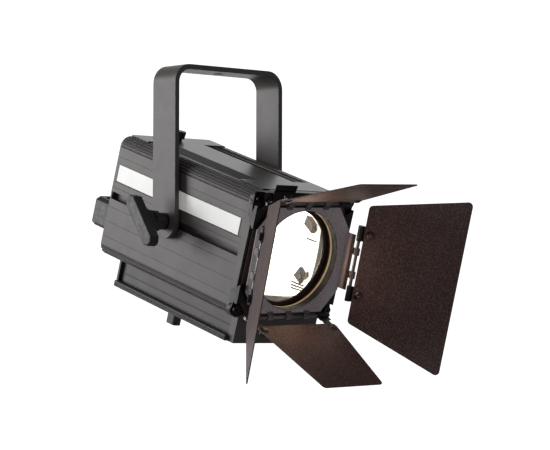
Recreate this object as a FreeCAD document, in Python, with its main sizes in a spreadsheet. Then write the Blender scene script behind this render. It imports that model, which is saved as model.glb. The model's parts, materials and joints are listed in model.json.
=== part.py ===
"""Small plano-convex stage spotlight: hanging yoke, tilting lamp house, sliding lamp, four-leaf barndoor.

Frame: origin at the centre of the yoke's hanging hole, on its top face. +Z up, beam towards -Y, X across.
Three working frames hang from it: the lamp house (origin at its tilt pivot, level when the tilt is 0), the
barndoor (origin on the lens axis at the front of the carrier plate) and each leaf (origin on its hinge).
Lengths are in millimetres and angles in degrees.
"""
import FreeCAD, Part
import math
import os
import re

import Sketcher
from FreeCAD import Placement, Rotation, Vector

SIZES = {
    # yoke
    "yoke_width": 166, "yoke_drop": 182, "strap_width": 40, "strap_thick": 6, "strap_bend": 22,
    "hang_radius": 6.5, "stud_radius": 4, "run_fit": 0.08,
    # lamp house: half sizes about the tilt pivot, front and rear ends of the side extrusions
    "body_half": 73, "body_front": -124.3, "body_length": 240, "wall_thick": 2.6, "flange_edge": 52.5,
    "top_round": 14, "foot_round": 12.5, "groove_radius": 1.2,
    "slot_half": 4.4, "slot_lip": 2.5, "slot_depth": 5.5, "cavity_half": 7.5,
    "label_low": 16.8, "label_high": 39.2, "label_depth": 1,
    "house_tilt": 17.8, "ear_across": 69.8, "ear_up": 66, "ear_down": 63, "ear_radius": 6.8,
    # front frame and lens
    "frame_thick": 10, "lens_axis": -1.6, "tube_outer": 62, "tube_inner": 60.5, "lens_radius": 60,
    "lens_edge": 5, "lens_dome": 13, "lens_back": -117, "ring_inner": 54.5,
    # electrical tray under the lamp house
    "tray_half": 58.5, "tray_lip": 66, "tray_bottom": -104, "lip_height": 7, "tray_rear": 86,
    "sheet_thick": 1.5, "step_length": 9,
    # top cover and its thumb screw
    "cover_level": 73.05, "cover_sheet": 1.25, "cover_flat": 26.5, "wing_half": 47.5, "wing_level": 66.5,
    "cover_front": -122, "front_cap_end": -82, "front_cap_half": 54,
    "rear_cap_start": 84, "cover_rear": 115, "rear_cap_half": 60, "thumb_place": 100,
    # rear handle
    "handle_level": -28.5, "handle_half": 66.5, "handle_reach": 36, "handle_height": 35, "handle_bolt": 62,
    "handle_pitch": 10,
    # lamp carriage
    "lamp_place": 22, "knob_place": 42, "rail_spread": 38, "rail_level": -58, "rail_radius": 3,
    "mirror_radius": 33, "mirror_angle": 60, "bulb_radius": 8,
    # barndoor
    "door_plane": -146, "door_turn": 2.1, "door_opening": 58, "plate_thick": 1.2, "door_half_width": 69.9,
    "door_half_height": 62, "rod_offset": 66.7, "side_rod_offset": 73.8, "side_rod_reach": 15.4,
    "rod_radius": 2, "knuckle_radius": 3.6, "clip_thick": 1.2,
    # leaves
    "large_root": 70, "large_tip": 104, "large_start": 5, "large_end": 124.2,
    "small_root": 60, "small_tip": 44.5, "small_start": 17, "small_end": 133, "leaf_corner": 5,
    "open_right": 28.2, "open_left": 36.9, "open_top": 24.9, "open_bottom": 17.6,
    # fasteners
    "screw_radius": 2, "screw_head": 3.8, "ear_head": 4.8, "leaf_head": 4.6, "small_screw": 1.5,
}

doc = FreeCAD.newDocument("spotlight")
nodes = {}


def make_sheet():
    """Puts each driving dimension in a cell whose alias is its name."""
    sheet = doc.addObject("Spreadsheet::Sheet", "size")
    for row, (name, value) in enumerate(SIZES.items(), 1):
        sheet.set(f"A{row}", name)
        sheet.set(f"B{row}", str(value))
        sheet.setAlias(f"B{row}", name)
    doc.recompute()
    return sheet


sheet = make_sheet()


def cell(name):
    """The value of a driving dimension, as a number."""
    return float(sheet.get(name))


def link(text):
    """Turns the dimension names in an expression into references to the sheet's cells."""
    return re.sub(r"\b[a-z]+(?:_[a-z]+)+\b", lambda name: "size." + name.group(), str(text))


def bind(thing, **properties):
    for name, value in properties.items():
        thing.setExpression(name, link(value))


HOUSE = Placement(Vector(0, 0, -cell("yoke_drop")), Rotation(Vector(1, 0, 0), cell("house_tilt")))
DOOR = HOUSE * Placement(Vector(0, cell("door_plane"), cell("lens_axis")),
                         Rotation(Vector(0, -1, 0), cell("door_turn")))
ROW = Placement()
TURNS = {
    "x": Rotation(Vector(0, 1, 0), 90), "-x": Rotation(Vector(0, 1, 0), -90),
    "y": Rotation(Vector(1, 0, 0), -90), "-y": Rotation(Vector(1, 0, 0), 90),
    "z": Rotation(), "-z": Rotation(Vector(1, 0, 0), 180),
}


# ---------- small tools ----------

def new_body(label, where):
    body = doc.addObject("PartDesign::Body", label)
    body.Label = label
    body.Placement = where
    nodes[label] = body
    return body


def keep_node(label, pieces, where):
    """Makes one node from separate solids that share it."""
    group = doc.addObject("Part::Compound", label)
    group.Label = label
    group.Links = pieces
    group.Placement = where
    nodes[label] = group
    return group


def new_sketch(body, role, offset="0", shift=("0", "0")):
    """A sketch on one of the body's own origin planes: offset is along its normal, shift in its plane."""
    sketch = body.newObject("Sketcher::SketchObject", body.Name + "_sketch")
    origin_plane = next(f for f in body.Origin.OriginFeatures if f.Role == role)
    sketch.AttachmentSupport = [(origin_plane, "")]
    sketch.MapMode = "FlatFace"
    for axis, value in zip("xyz", (shift[0], shift[1], offset)):
        sketch.setExpression(f"AttachmentOffset.Base.{axis}", link(value))
    return sketch


def add_polygon(sketch, points):
    """Closed outline whose corners are held at (x, y) expressions."""
    count, first = len(points), sketch.GeometryCount
    steps = [2 * math.pi * i / count for i in range(count)]
    ring = [Vector(math.cos(step), math.sin(step), 0) for step in steps]
    sketch.addGeometry([Part.LineSegment(ring[i], ring[(i + 1) % count]) for i in range(count)], False)
    rules = [Sketcher.Constraint("Coincident", first + i, 2, first + (i + 1) % count, 1)
             for i in range(count)]
    rules += [Sketcher.Constraint("DistanceX", -1, 1, first + i, 1, ring[i].x) for i in range(count)]
    rules += [Sketcher.Constraint("DistanceY", -1, 1, first + i, 1, ring[i].y) for i in range(count)]
    start = sketch.ConstraintCount
    sketch.addConstraint(rules)
    for i, (x, y) in enumerate(points):
        sketch.setExpression(f"Constraints[{start + count + i}]", link(x))
        sketch.setExpression(f"Constraints[{start + 2 * count + i}]", link(y))


def add_rectangle(sketch, low_x, low_y, high_x, high_y):
    add_polygon(sketch, [(low_x, low_y), (high_x, low_y), (high_x, high_y), (low_x, high_y)])


def add_circle(sketch, x, y, radius):
    circle = sketch.addGeometry(Part.Circle(Vector(1, 1, 0), Vector(0, 0, 1), 1), False)
    start = sketch.ConstraintCount
    sketch.addConstraint([
        Sketcher.Constraint("DistanceX", -1, 1, circle, 3, 1),
        Sketcher.Constraint("DistanceY", -1, 1, circle, 3, 1),
        Sketcher.Constraint("Radius", circle, 1),
    ])
    for i, value in enumerate((x, y, radius)):
        sketch.setExpression(f"Constraints[{start + i}]", link(value))


def pad(body, sketch, length, both=False, back=False):
    feature = body.newObject("PartDesign::Pad", body.Name + "_pad")
    feature.Profile = sketch
    feature.Reversed = back
    if both:
        feature.SideType = "Symmetric"
    bind(feature, Length=length)
    return feature


def pocket(body, sketch, length, both=True, back=False):
    feature = body.newObject("PartDesign::Pocket", body.Name + "_pocket")
    feature.Profile = sketch
    feature.Reversed = back
    if both:
        feature.SideType = "Symmetric"
    bind(feature, Length=length)
    return feature


def revolve(body, sketch, axis):
    feature = body.newObject("PartDesign::Revolution", body.Name + "_turned")
    feature.Profile = sketch
    feature.ReferenceAxis = (sketch, [axis])
    feature.Angle = 360
    return feature


def repeat_around(body, feature, sketch, angle, count):
    """Repeats a pocket about its own sketch's normal."""
    pattern = body.newObject("PartDesign::PolarPattern", body.Name + "_around")
    pattern.Originals = [feature]
    pattern.Axis = (sketch, ["N_Axis"])
    pattern.Angle = angle
    pattern.Occurrences = count
    body.Tip = pattern
    return pattern


def repeat_along(body, feature, sketch, axis, length, count):
    pattern = body.newObject("PartDesign::LinearPattern", body.Name + "_along")
    pattern.Originals = [feature]
    pattern.Direction = (sketch, [axis])
    bind(pattern, Length=length)
    pattern.Occurrences = count
    body.Tip = pattern
    return pattern


def find_edges(feature, direction, test):
    """Names of the straight edges that run along an axis and whose midpoint passes the test."""
    doc.recompute()
    found = []
    for i, edge in enumerate(feature.Shape.Edges, 1):
        if len(edge.Vertexes) == 2 and edge.Curve.TypeId == "Part::GeomLine":
            run = edge.Vertexes[1].Point - edge.Vertexes[0].Point
            along = abs(run.normalize().dot(direction)) > 0.999
            if along and test(edge.CenterOfMass):
                found.append(f"Edge{i}")
    return found


def fillet(body, feature, direction, test, radius):
    found = find_edges(feature, direction, test)
    rounded = body.newObject("PartDesign::Fillet", body.Name + "_fillet")
    rounded.Base = (feature, found)
    bind(rounded, Radius=radius)
    return rounded


def put(thing, at, turn="z"):
    thing.Placement = Placement(Vector(), TURNS[turn])
    for axis, value in zip("xyz", at):
        thing.setExpression(f"Placement.Base.{axis}", link(value))
    return thing


def rod(name, radius, length, at, turn="z"):
    thing = doc.addObject("Part::Cylinder", name)
    bind(thing, Radius=radius, Height=length)
    return put(thing, at, turn)


def block(name, low, spans):
    thing = doc.addObject("Part::Box", name)
    bind(thing, Length=spans[0], Width=spans[1], Height=spans[2])
    return put(thing, low)


def prism(name, radius, length, at, turn="z"):
    thing = doc.addObject("Part::Prism", name)
    thing.Polygon = 6
    bind(thing, Circumradius=radius, Height=length)
    return put(thing, at, turn)


def fuse(name, pieces):
    thing = doc.addObject("Part::MultiFuse", name)
    thing.Shapes = pieces
    return thing


def cut(name, base, tool):
    thing = doc.addObject("Part::Cut", name)
    thing.Base = base
    thing.Tool = tool
    return thing


def tube(name, outer, inner, length, at, turn="z"):
    wall = rod(name + "_outer", outer, length, at, turn)
    return cut(name, wall, rod(name + "_inner", inner, length, at, turn))


def screw(name, at, turn, length, radius="screw_radius", head="screw_head"):
    """Pan-head screw with a hexagon socket: at is under the head, turn points out of it."""
    pieces = [
        rod(name + "_head", head, f"{head} * 0.7", at, turn),
        rod(name + "_shank", radius, length, at, turn.replace("-", "") if "-" in turn else "-" + turn),
    ]
    reach = {"x": (1, 0, 0), "y": (0, 1, 0), "z": (0, 0, 1)}[turn[-1]]
    sign = "-" if "-" in turn else "+"
    mouth = [f"{place} {sign} {head} * 0.35 * {step}" for place, step in zip(at, reach)]
    socket = prism(name + "_socket", f"{radius} * 0.75", head, mouth, turn)
    return cut(name, fuse(name + "_solid", pieces), socket)


def mirrored(points):
    """The same corners on the other side of the middle plane, in the opposite order."""
    return [(f"-({x})", z) for x, z in reversed(points)]


X, Y, Z = Vector(1, 0, 0), Vector(0, 1, 0), Vector(0, 0, 1)

# where screws stand, across and up: front ears, corners of the rear panel, and the handle about its middle
EARS = [(across, level) for across in ("-ear_across", "ear_across") for level in ("ear_up", "-ear_down")]
REAR_CORNERS = [(across, level) for across in ("-62", "62") for level in ("-62", "62")]
HANDLE_BOLTS = [(across, level) for across in ("-handle_bolt", "handle_bolt")
                for level in ("-handle_pitch", "handle_pitch")]
TAIL_MARGIN = 5  # from the end of a leaf clip to its screw


# ---------- yoke and tilt lock ----------

def make_yoke():
    body = new_body("yoke_strap", ROW)
    profile = new_sketch(body, "XZ_Plane")
    add_polygon(profile, [
        ("-yoke_width / 2", "-yoke_drop"), ("-yoke_width / 2", "0"), ("yoke_width / 2", "0"),
        ("yoke_width / 2", "-yoke_drop"), ("yoke_width / 2 - strap_thick", "-yoke_drop"),
        ("yoke_width / 2 - strap_thick", "-strap_thick"), ("-yoke_width / 2 + strap_thick", "-strap_thick"),
        ("-yoke_width / 2 + strap_thick", "-yoke_drop"),
    ])
    strap = pad(body, profile, "strap_width", both=True)
    half, thick = cell("yoke_width") / 2, cell("strap_thick")
    bent = fillet(body, strap, Y, lambda p: p.z > -1 and abs(p.x) > half - 1, "strap_bend")
    fillet(body, bent, Y, lambda p: abs(p.z + thick) < 1 and abs(p.x) > half - thick - 1,
           "strap_bend - strap_thick")
    for offset in ("-yoke_width / 2", "yoke_width / 2 - strap_thick"):
        end = new_sketch(body, "YZ_Plane", offset)
        add_circle(end, "0", "-yoke_drop", "strap_width / 2")
        pad(body, end, "strap_thick")
    pivot = new_sketch(body, "YZ_Plane")
    add_circle(pivot, "0", "-yoke_drop", "stud_radius + run_fit")
    pocket(body, pivot, "yoke_width * 2")
    hanging = new_sketch(body, "XY_Plane")
    add_circle(hanging, "0", "0", "hang_radius")
    pocket(body, hanging, "strap_thick * 4")


def make_tilt_lock():
    """T-lever on a stud that clamps the left arm against the lamp house."""
    lever_frame = Placement(Vector(0, 0, -cell("yoke_drop")), Rotation(Vector(1, 0, 0), -34))
    body = new_body("lock_lever", lever_frame)
    hub = new_sketch(body, "YZ_Plane", "-yoke_width / 2 - 1.8")
    add_circle(hub, "0", "0", "9.8")
    pad(body, hub, "14", back=True)
    web = new_sketch(body, "XZ_Plane")
    waist = [("8", "9.5"), ("21", "10.5"), ("25", "14"), ("27.5", "26"), ("30", "27")]
    add_polygon(web, [(f"-yoke_width / 2 - {out}", z) for out, z in waist]
                + [(f"-yoke_width / 2 - {out}", f"-{z}") for out, z in reversed(waist)])
    pad(body, web, "13", both=True)
    bar = new_sketch(body, "YZ_Plane", "-yoke_width / 2 - 26")
    add_polygon(bar, [
        ("-8.5", "-28"), ("-3.5", "-34"), ("3.5", "-34"), ("8.5", "-28"),
        ("8.5", "28"), ("3.5", "34"), ("-3.5", "34"), ("-8.5", "28"),
    ])
    grip = pad(body, bar, "12", back=True)
    outer = -cell("yoke_width") / 2 - 38
    corners = fillet(body, grip, X, lambda p: abs(p.z) > 27 and p.x < -100, "3")
    doc.recompute()
    rim = [f"Edge{i}" for i, edge in enumerate(corners.Shape.Edges, 1)
           if all(abs(v.X - outer) < 0.01 for v in edge.Vertexes)]
    soft = body.newObject("PartDesign::Fillet", "lock_lever_rim")
    soft.Base = (corners, rim)
    soft.Radius = 2
    stud_inner = "body_half - slot_lip - slot_depth + 0.4"
    stud = rod("stud_bar", "stud_radius", f"yoke_width / 2 + 1.8 - ({stud_inner})",
               ("-yoke_width / 2 - 1.8", "0", "0"), "x")
    keep_node("lock_stud", [stud], Placement(Vector(0, 0, -cell("yoke_drop")), Rotation()))
    washers = [tube(f"washer_{side}", "9.5", "stud_radius + run_fit", "1.5", (low, "0", "0"), "x")
               for side, low in (("left", "-yoke_width / 2 - 1.6"), ("right", "yoke_width / 2 + 0.1"))]
    keep_node("yoke_washers", washers, Placement(Vector(0, 0, -cell("yoke_drop")), Rotation()))


def make_pivot_hardware():
    """Far-side pivot bolt, the T-slot nuts and the two spacers, all fixed to the lamp house."""
    bolt = fuse("bolt_solid", [
        rod("bolt_shank", "stud_radius", "yoke_width / 2 + 1.9 - (body_half - slot_lip - slot_depth + 0.4)",
            ("body_half - slot_lip - slot_depth + 0.4", "0", "0"), "x"),
        prism("bolt_head", "7.5", "5.3", ("yoke_width / 2 + 1.85", "0", "0"), "x"),
    ])
    keep_node("pivot_bolt", [bolt], HOUSE)
    nuts, spacers = [], []
    for side, sign in (("left", "-"), ("right", "")):
        inner = "body_half - slot_lip - slot_depth + 0.3"
        low = f"-({inner}) - slot_depth + 0.6" if sign else inner
        nut = block(f"nut_{side}_block", (low, "-8", "-cavity_half + 0.4"),
                    ("slot_depth - 0.6", "16", "cavity_half * 2 - 0.8"))
        bore = rod(f"nut_{side}_bore", "stud_radius + run_fit", "20",
                   ("-80" if sign else "60", "0", "0"), "x")
        nuts.append(cut(f"nut_{side}", nut, bore))
        start = "-(yoke_width / 2 - strap_thick - 0.2)" if sign else "body_half + 0.05"
        spacers.append(tube(f"spacer_{side}", "14", "stud_radius + run_fit",
                            "yoke_width / 2 - strap_thick - body_half - 0.25", (start, "0", "0"), "x"))
    keep_node("slot_nuts", nuts, HOUSE)
    keep_node("pivot_spacers", spacers, HOUSE)


# ---------- lamp house ----------

def make_side_extrusion(side, sign):
    """Extruded side wall: ribbed round corners, T-slot for the pivot, recess for the nameplate."""
    body = new_body(f"side_extrusion_{side}", HOUSE)
    profile = new_sketch(body, "XZ_Plane", "-(body_front + body_length)")
    inner = "body_half - wall_thick"
    bump = "body_half - slot_lip - slot_depth - wall_thick"
    outline = [
        ("flange_edge", "-body_half"), ("body_half", "-body_half"), ("body_half", "-slot_half"),
        ("body_half - slot_lip", "-slot_half"), ("body_half - slot_lip", "-cavity_half"),
        ("body_half - slot_lip - slot_depth", "-cavity_half"),
        ("body_half - slot_lip - slot_depth", "cavity_half"), ("body_half - slot_lip", "cavity_half"),
        ("body_half - slot_lip", "slot_half"), ("body_half", "slot_half"),
        ("body_half", "label_low"), ("body_half - label_depth", "label_low"),
        ("body_half - label_depth", "label_high"), ("body_half", "label_high"), ("body_half", "body_half"),
        ("flange_edge", "body_half"), ("flange_edge", inner), (inner, inner),
        (inner, "cavity_half + wall_thick"), (bump, "cavity_half + wall_thick"),
        (bump, "-cavity_half - wall_thick"), (inner, "-cavity_half - wall_thick"),
        (inner, f"-({inner})"), ("flange_edge", f"-({inner})"),
    ]
    add_polygon(profile, [(f"{sign}1 * ({x})", z) for x, z in outline])
    wall = pad(body, profile, "body_length")
    half, thick = cell("body_half"), cell("wall_thick")
    top = fillet(body, wall, Y, lambda p: p.z > half - 1 and abs(p.x) > half - 1, "top_round")
    top = fillet(body, top, Y, lambda p: abs(p.z - half + thick) < 1 and abs(p.x) > half - thick - 1,
                 "top_round - wall_thick")
    foot = fillet(body, top, Y, lambda p: p.z < 1 - half and abs(p.x) > half - 1, "foot_round")
    fillet(body, foot, Y, lambda p: abs(p.z + half - thick) < 1 and abs(p.x) > half - thick - 1,
           "foot_round - wall_thick")
    sweep = 78
    for radius, level, first, count in (("top_round", 1, 4, 6), ("foot_round", -1, -84, 4)):
        start = math.radians(first if not sign else 180 - first - sweep)
        ridge = new_sketch(body, "XZ_Plane", shift=(f"{sign}1 * (body_half - {radius})",
                                                    f"{level} * (body_half - {radius})"))
        add_circle(ridge, f"({radius} - 0.25) * {math.cos(start):.4f}",
                   f"({radius} - 0.25) * {math.sin(start):.4f}", "groove_radius")
        groove = pocket(body, ridge, "body_length * 2")
        repeat_around(body, groove, ridge, sweep, count)
    lines = new_sketch(body, "XZ_Plane")
    for level in (-50, -32, -14, 9.8, 47):
        add_circle(lines, f"{sign}1 * (body_half + 0.1)", str(level), "0.28")
    pocket(body, lines, "body_length * 2")


def make_nameplates():
    plates = [block(f"plate_{side}", (low, "body_front + 7", "label_low + 1.3"),
                    ("label_depth - 0.15", "body_length - 12", "label_high - label_low - 2.6"))
              for side, low in (("left", "-body_half + 0.1"), ("right", "body_half - label_depth + 0.05"))]
    keep_node("nameplates", plates, HOUSE)


def make_top_cover():
    """Folded lid: flat caps across the front and rear, joined by a narrower ridge with sloping open sides."""
    body = new_body("top_cover", HOUSE)
    ridge = new_sketch(body, "XZ_Plane", "-rear_cap_start - 2")
    top = "cover_level + cover_sheet"
    right = [
        ("cover_flat", top), ("wing_half", "wing_level"), ("wing_half - 0.6", "wing_level - cover_sheet"),
        ("cover_flat", "cover_level"),
    ]
    add_polygon(ridge, right + mirrored(right))
    pad(body, ridge, "rear_cap_start + 4 - front_cap_end")
    caps = new_sketch(body, "XY_Plane", "cover_level")
    add_rectangle(caps, "-front_cap_half", "cover_front", "front_cap_half", "front_cap_end")
    add_rectangle(caps, "-rear_cap_half", "rear_cap_start", "rear_cap_half", "cover_rear")
    pad(body, caps, "cover_sheet")
    hole = new_sketch(body, "XY_Plane", "cover_level")
    add_circle(hole, "0", "thumb_place", "2.7")
    pocket(body, hole, "6")


def make_cover_knob():
    """Thumb screw that holds the rear of the lid down: it threads into the baffle."""
    level = cell("cover_level") + cell("cover_sheet") + 0.05
    where = HOUSE * Placement(Vector(0, cell("thumb_place"), level), Rotation())
    body = new_body("cover_knob", where)
    outline = new_sketch(body, "XZ_Plane")
    add_polygon(outline, [
        ("0", "0"), ("3.6", "0"), ("3.6", "2.4"), ("6.2", "3"),
        ("7", "10.6"), ("6.2", "11.6"), ("0", "11.6"),
    ])
    revolve(body, outline, "V_Axis")
    grips = new_sketch(body, "XY_Plane", "7")
    add_circle(grips, "7.6", "0", "1.2")
    grip = pocket(body, grips, "12")
    repeat_around(body, grip, grips, 330, 12)
    keep_node("cover_knob_screw", [rod("cover_screw_bar", "2.5", "14.5", ("0", "0", "-14.5"))], where)


def make_top_baffle():
    """Dark sheet under the lid that stops light and lets warm air out at the sides."""
    body = new_body("top_baffle", HOUSE)
    profile = new_sketch(body, "XZ_Plane", "-108")
    add_polygon(profile, [
        ("-51.5", "69.8"), ("-50.2", "69.8"), ("-50.2", "62.2"), ("50.2", "62.2"),
        ("50.2", "69.8"), ("51.5", "69.8"), ("51.5", "61"), ("-51.5", "61"),
    ])
    pad(body, profile, "226")
    thread = new_sketch(body, "XY_Plane", "61.5")
    add_circle(thread, "0", "thumb_place", "2.5 + run_fit")
    pocket(body, thread, "6")


def make_front_frame():
    """Cast front plate over the lamp house and the tray, with screw ears and the lens opening."""
    body = new_body("front_frame", HOUSE)
    outline = new_sketch(body, "XZ_Plane", "-body_front")
    add_polygon(outline, [
        ("-61", "tray_bottom"), ("61", "tray_bottom"), ("61", "-body_half"), ("body_half", "-body_half"),
        ("body_half", "body_half"), ("-body_half", "body_half"), ("-body_half", "-body_half"),
        ("-61", "-body_half"),
    ])
    plate = pad(body, outline, "frame_thick")
    half = cell("body_half")
    top = fillet(body, plate, Y, lambda p: p.z > half - 1, "top_round")
    fillet(body, top, Y, lambda p: abs(p.z + half) < 1 and abs(p.x) > half - 1, "8")
    ears = new_sketch(body, "XZ_Plane", "-body_front + frame_thick - 5")
    for x, z in EARS:
        add_circle(ears, x, z, "ear_radius")
    pad(body, ears, "5")
    opening = new_sketch(body, "XZ_Plane", "-body_front")
    add_circle(opening, "0", "lens_axis", "tube_outer + 0.1")
    for x, z in EARS:
        add_circle(opening, x, z, "screw_radius + 0.05")
    pocket(body, opening, "frame_thick * 4")


def make_front_screws():
    level = "body_front - frame_thick - 1.4"
    screws = [screw(f"front_screw_{i}", (x, level, z), "-y", "11.2", head="ear_head")
              for i, (x, z) in enumerate(EARS)]
    keep_node("front_screws", screws, HOUSE)


def make_corner_clips():
    """Facetted channels screwed at the four ears: they hold an accessory frame against the front."""
    body = new_body("corner_clips", HOUSE)
    body.AllowCompound = True
    tab_up = [("60.5", "57"), ("74.4", "50"), ("76.4", "61"), ("76.4", "71"), ("74.4", "74"), ("62", "74")]
    tab_down = [("56", "-52"), ("74.4", "-52"), ("76.4", "-63"), ("73", "-70"), ("67", "-72.5"),
                ("56", "-70")]
    lip_up = [("74.4", "32.3"), ("74.4", "58.5"), ("66", "54"), ("58", "50"), ("56.6", "42"),
              ("69", "30.5")]
    lip_down = [("74.4", "-33"), ("69.4", "-31"), ("61", "-46"), ("60", "-54"), ("74.4", "-54")]
    tip = "body_front - frame_thick - 7.2"
    wall_up = [(tip, "32.3"), ("body_front - frame_thick - 5", "32.3"), ("body_front - 5", "45"),
               ("body_front - 3", "58.5"), (tip, "58.5")]
    wall_down = [(tip, "-33"), ("body_front - 2.6", "-42.5"), ("body_front - 4.5", "-55.4"),
                 (tip, "-55.4")]
    tabs = new_sketch(body, "XZ_Plane", "-body_front + frame_thick + 0.1")
    for outline in (tab_up, tab_down):
        add_polygon(tabs, outline)
        add_polygon(tabs, mirrored(outline))
    pad(body, tabs, "1.2")
    lips = new_sketch(body, "XZ_Plane", "-body_front + frame_thick + 6")
    for outline in (lip_up, lip_down):
        add_polygon(lips, outline)
        add_polygon(lips, mirrored(outline))
    pad(body, lips, "1.2")
    for offset in ("body_half + 0.2", "-body_half - 1.4"):
        walls = new_sketch(body, "YZ_Plane", offset)
        add_polygon(walls, wall_up)
        add_polygon(walls, wall_down)
        pad(body, walls, "1.2")
    holes = new_sketch(body, "XZ_Plane", "-body_front + frame_thick")
    for x, z in EARS:
        add_circle(holes, x, z, "screw_radius + 0.15")
    pocket(body, holes, "6")


def make_accessory_latch():
    """Sprung bar across the top that keeps the accessory frame in; its tab lifts it."""
    where = HOUSE * Placement(Vector(0, cell("body_front") - cell("frame_thick"), 75), Rotation())
    body = new_body("accessory_latch", where)
    profile = new_sketch(body, "YZ_Plane")
    add_polygon(profile, [
        ("2", "0"), ("2", "1.2"), ("-7.2", "1.2"), ("-7.2", "-7.5"), ("-6", "-7.5"), ("-6", "0"),
    ])
    pad(body, profile, "108", both=True)
    tab = new_sketch(body, "YZ_Plane", "-52")
    add_polygon(tab, [("-4", "1"), ("-5.8", "9"), ("-7", "8.7"), ("-5.4", "0.5")])
    pad(body, tab, "32")


def make_lens_group():
    body = new_body("lens_tube", HOUSE)
    ring = new_sketch(body, "XZ_Plane", "-lens_back - 9", ("0", "lens_axis"))
    add_circle(ring, "0", "0", "tube_outer")
    add_circle(ring, "0", "0", "tube_inner")
    pad(body, ring, "-body_front + frame_thick + lens_back + 9")
    lens = new_body("lens", HOUSE * Placement(Vector(0, cell("lens_back"), cell("lens_axis")), Rotation()))
    outline = new_sketch(lens, "YZ_Plane")
    dome_radius = (cell("lens_radius") ** 2 + cell("lens_dome") ** 2) / (2 * cell("lens_dome"))
    edge, dome, radius = cell("lens_edge"), cell("lens_dome"), cell("lens_radius")
    half_angle = math.asin(radius / dome_radius) / 2
    middle = Vector(-edge - dome + dome_radius * (1 - math.cos(half_angle)),
                    dome_radius * math.sin(half_angle), 0)
    outline.addGeometry([
        Part.LineSegment(Vector(0, 0, 0), Vector(0, radius, 0)),
        Part.LineSegment(Vector(0, radius, 0), Vector(-edge, radius, 0)),
        Part.Arc(Vector(-edge, radius, 0), middle, Vector(-edge - dome, 0, 0)),
        Part.LineSegment(Vector(-edge - dome, 0, 0), Vector(0, 0, 0)),
    ], False)
    revolve(lens, outline, "H_Axis")
    keep_node("lens_ring", [tube("lens_ring_band", "tube_inner - 0.1", "ring_inner", "2",
                                 ("0", "lens_back - lens_edge - 3", "lens_axis"), "-y")], HOUSE)
    spring = doc.addObject("Part::Torus", "lens_spring_wire")
    bind(spring, Radius1="lens_radius - 1.5", Radius2="1")
    put(spring, ("0", "lens_back + 1.1", "lens_axis"), "y")
    keep_node("lens_spring", [spring], HOUSE)


def make_liner():
    """Bright box around the lamp, open at the front and top, with cooling slots in its sides."""
    body = new_body("lamp_liner", HOUSE)
    shell = new_sketch(body, "XZ_Plane", "-101")
    add_rectangle(shell, "-56", "-50", "56", "58")
    pad(body, shell, "205")
    hollow = new_sketch(body, "XZ_Plane", "-100")
    add_rectangle(hollow, "-55", "-49", "55", "60")
    pocket(body, hollow, "206", both=False, back=True)
    slot = new_sketch(body, "XY_Plane", "-49.5")
    add_rectangle(slot, "-12", "lamp_place - 64", "12", "lamp_place + 61")
    pocket(body, slot, "6")
    rear_slots = ("30", "70", "10", "2.5", "0")
    front_slots = ("-91", "-72", "-44.5", "1.3", "2.5")
    for front, rear, level, height, rise in (rear_slots, front_slots):
        louvre = new_sketch(body, "YZ_Plane")
        rear_level = f"{level} + {rise}"
        add_polygon(louvre, [(front, level), (rear, rear_level), (rear, f"{rear_level} + {height}"),
                             (front, f"{level} + {height}")])
        cuts = pocket(body, louvre, "130")
        repeat_along(body, cuts, louvre, "V_Axis", f"{height} * 4", 3)


def make_heat_shield():
    body = new_body("heat_shield", HOUSE)
    plate = new_sketch(body, "XY_Plane", "-body_half + 1")
    add_rectangle(plate, "-52", "-120", "52", "112")
    pad(body, plate, "1.2")
    slot = new_sketch(body, "XY_Plane", "-body_half + 1")
    add_rectangle(slot, "-6", "knob_place - 56", "6", "knob_place + 36")
    pocket(body, slot, "8")


def make_rails():
    rails = [rod(f"rail_{i}", "rail_radius", "208", (f"{sign}rail_spread", "-100", "rail_level"), "y")
             for i, sign in enumerate(("-", ""))]
    keep_node("guide_rails", rails, HOUSE)


def make_rear_panel():
    body = new_body("rear_panel", HOUSE)
    outline = new_sketch(body, "XZ_Plane", "-(body_front + body_length + 2.7)")
    add_rectangle(outline, "-71.5", "-71.5", "71.5", "71.5")
    plate = pad(body, outline, "2.5")
    fillet(body, plate, Y, lambda p: True, "foot_round")
    slots = new_sketch(body, "XZ_Plane", "-(body_front + body_length)")
    add_rectangle(slots, "-40", "22", "40", "25")
    cuts = pocket(body, slots, "12")
    repeat_along(body, cuts, slots, "V_Axis", 32, 5)
    holes = new_sketch(body, "XZ_Plane", "-(body_front + body_length)")
    for x, z in REAR_CORNERS + [(x, f"handle_level + {z}") for x, z in HANDLE_BOLTS]:
        add_circle(holes, x, z, "screw_radius + 0.05")
    pocket(body, holes, "12")


def make_rear_handle():
    foot = cell("body_front") + cell("body_length") + 2.8
    where = HOUSE * Placement(Vector(0, foot, cell("handle_level")), Rotation())
    body = new_body("rear_handle", where)
    plan = new_sketch(body, "XY_Plane")
    right = [
        ("handle_half", "0"), ("handle_half", "handle_reach - 5"), ("handle_half - 5", "handle_reach"),
    ]
    inside = [
        ("handle_half - 14", "handle_reach - 7.5"), ("handle_half - 8", "handle_reach - 13"),
        ("handle_half - 8", "0"),
    ]
    add_polygon(plan, right + mirrored(right) + mirrored(inside) + inside)
    grip = pad(body, plan, "handle_height", both=True)
    doc.recompute()
    side, tip, top = cell("handle_half"), cell("handle_reach"), cell("handle_height") / 2
    middles = [edge.CenterOfMass for edge in grip.Shape.Edges]
    rim = [f"Edge{i}" for i, p in enumerate(middles, 1)
           if abs(abs(p.z) - top) < 0.01 and (abs(p.x) > side - 4 or p.y > tip - 4)]
    bevel = body.newObject("PartDesign::Chamfer", "rear_handle_bevel")
    bevel.Base = (grip, rim)
    bevel.Size = 4
    threads = new_sketch(body, "XZ_Plane")
    for x, z in HANDLE_BOLTS:
        add_circle(threads, x, z, "screw_radius + 0.05")
    pocket(body, threads, "22")


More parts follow.
